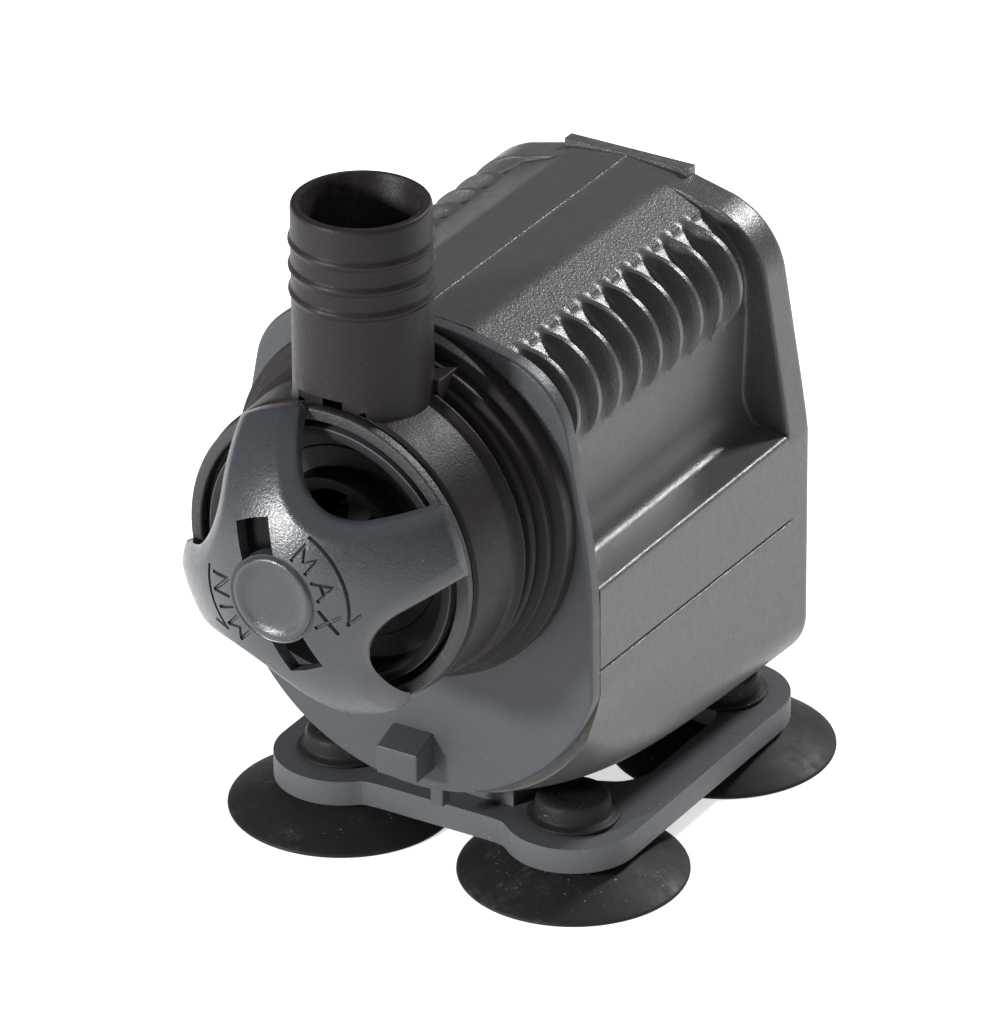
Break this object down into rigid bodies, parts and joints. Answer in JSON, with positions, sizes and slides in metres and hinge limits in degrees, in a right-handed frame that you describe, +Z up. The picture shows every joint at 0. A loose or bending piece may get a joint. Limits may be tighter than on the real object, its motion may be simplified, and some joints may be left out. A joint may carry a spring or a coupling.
{
  "type": "submersible aquarium pump",
  "caption": "Submersible aquarium water pump with a rotating flow dial, an upright hose outlet and a base on suction feet.",
  "frame": {"origin": "centre of the bounding box on the floor plane that the four suction feet stand on", "axes": "+Z up along the outlet, -Y towards the dial and the intake, +X to the right as the dial is faced"},
  "size_m": [0.0742, 0.1109, 0.1147],
  "materials": {
    "housing_plastic": "warm dark grey, fine moulded grain, satin",
    "slate_plastic": "slate grey, satin",
    "dial_plastic": "slate grey, satin",
    "chamber_plastic": "brown-black, semi-gloss",
    "base_plastic": "dark grey with scuffed edges, satin",
    "well_plastic": "smooth moulded",
    "impeller_plastic": "smooth moulded",
    "bobbin_nylon": "natural nylon",
    "cup_rubber": "black rubber, dusty",
    "gland_rubber": "black rubber",
    "seal_rubber": "smooth black rubber",
    "bush_rubber": "smooth dark rubber",
    "shaft_ceramic": "polished ceramic",
    "magnet_ferrite": "ground ferrite",
    "core_steel": "stacked laminations",
    "winding_copper": "enamelled copper wire",
    "potting_resin": "cast resin"
  },
  "bodies": {
    "pump": {"motor_housing": "housing_plastic", "rear_cover": "housing_plastic", "front_plate": "slate_plastic", "cable_gland": "gland_rubber", "pump_chamber": "chamber_plastic", "chamber_seal": "seal_rubber", "intake_cover": "slate_plastic", "rotor_well": "well_plastic", "rotor_shaft": "shaft_ceramic", "front_bush": "bush_rubber", "rear_bush": "bush_rubber", "stator_core": "core_steel", "coil_bobbin_left": "bobbin_nylon", "coil_bobbin_right": "bobbin_nylon", "coil_winding_left": "winding_copper", "coil_winding_right": "winding_copper", "resin_fill": "potting_resin", "base_plate": "base_plastic", "suction_cup_front_left": "cup_rubber", "suction_cup_front_right": "cup_rubber", "suction_cup_rear_left": "cup_rubber", "suction_cup_rear_right": "cup_rubber"},
    "rotor": {"rotor_sleeve": "bobbin_nylon", "rotor_magnet": "magnet_ferrite", "impeller": "impeller_plastic"},
    "dial": {"dial_cap": "dial_plastic", "dial_ring": "dial_plastic", "dial_shutter": "dial_plastic"}
  },
  "joints": [
    {"name": "rotor_spin", "type": "hinge", "parent": "pump", "child": "rotor", "pos_m": [0, 0, 0.0626], "axis": [0, 1, 0], "continuous": true},
    {"name": "dial_turn", "type": "hinge", "parent": "pump", "child": "dial", "pos_m": [0, 0, 0.0626], "axis": [0, 1, 0], "range_deg": [-45, 45]}
  ]
}
